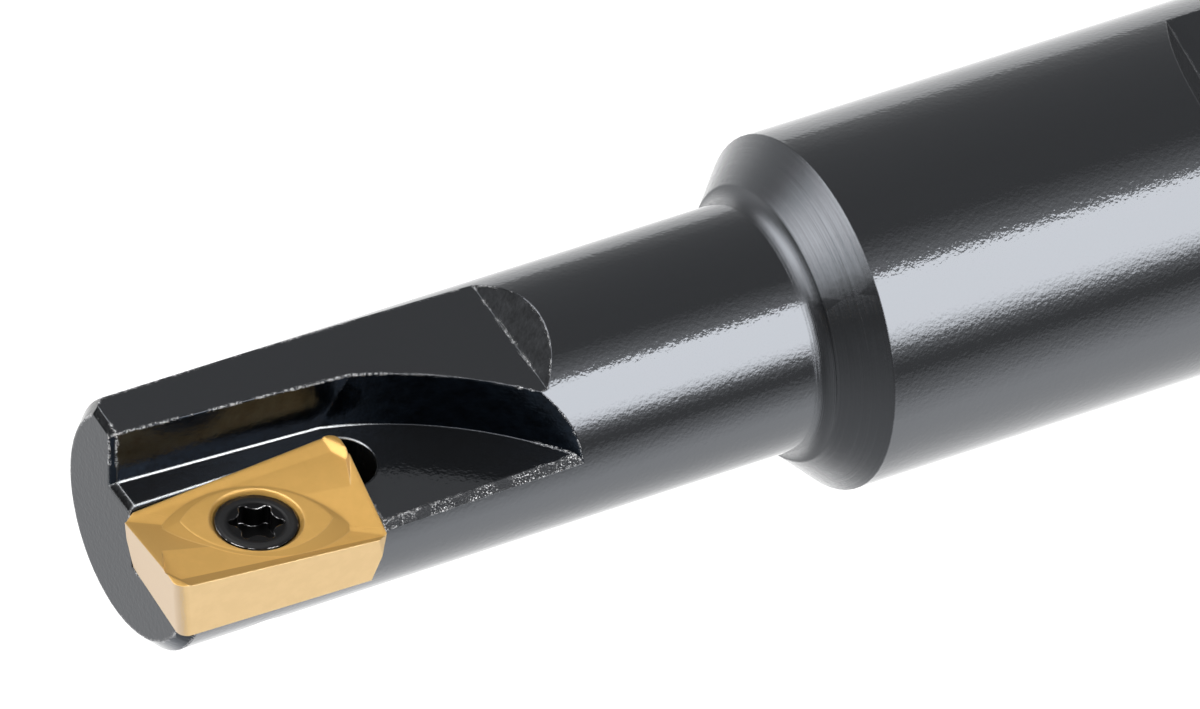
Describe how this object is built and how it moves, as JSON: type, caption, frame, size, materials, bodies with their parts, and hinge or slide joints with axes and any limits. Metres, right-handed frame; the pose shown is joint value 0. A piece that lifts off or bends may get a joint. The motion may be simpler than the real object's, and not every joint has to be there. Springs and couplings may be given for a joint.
{
  "type": "indexable end mill",
  "caption": "Right-hand indexable end mill: a stepped steel shank with a side-lock flat, a reduced neck with a chip gullet, and a coated carbide insert held by a countersunk screw.",
  "frame": {"origin": "centre of the shank's end face", "axes": "+Z along the tool's axis towards the cutting tip, +X outwards through the insert, +Y the way the insert's rake side faces"},
  "size_m": [0.0158, 0.0158, 0.0824],
  "materials": {
    "black_oxide_steel": "glossy black oxide over turned steel",
    "coated_carbide": "gold nitride coating, satin",
    "screw_steel": "oiled black oxide"
  },
  "bodies": {
    "root": {"cutter_body": "black_oxide_steel", "insert": "coated_carbide", "insert_screw": "screw_steel"}
  },
  "joints": []
}
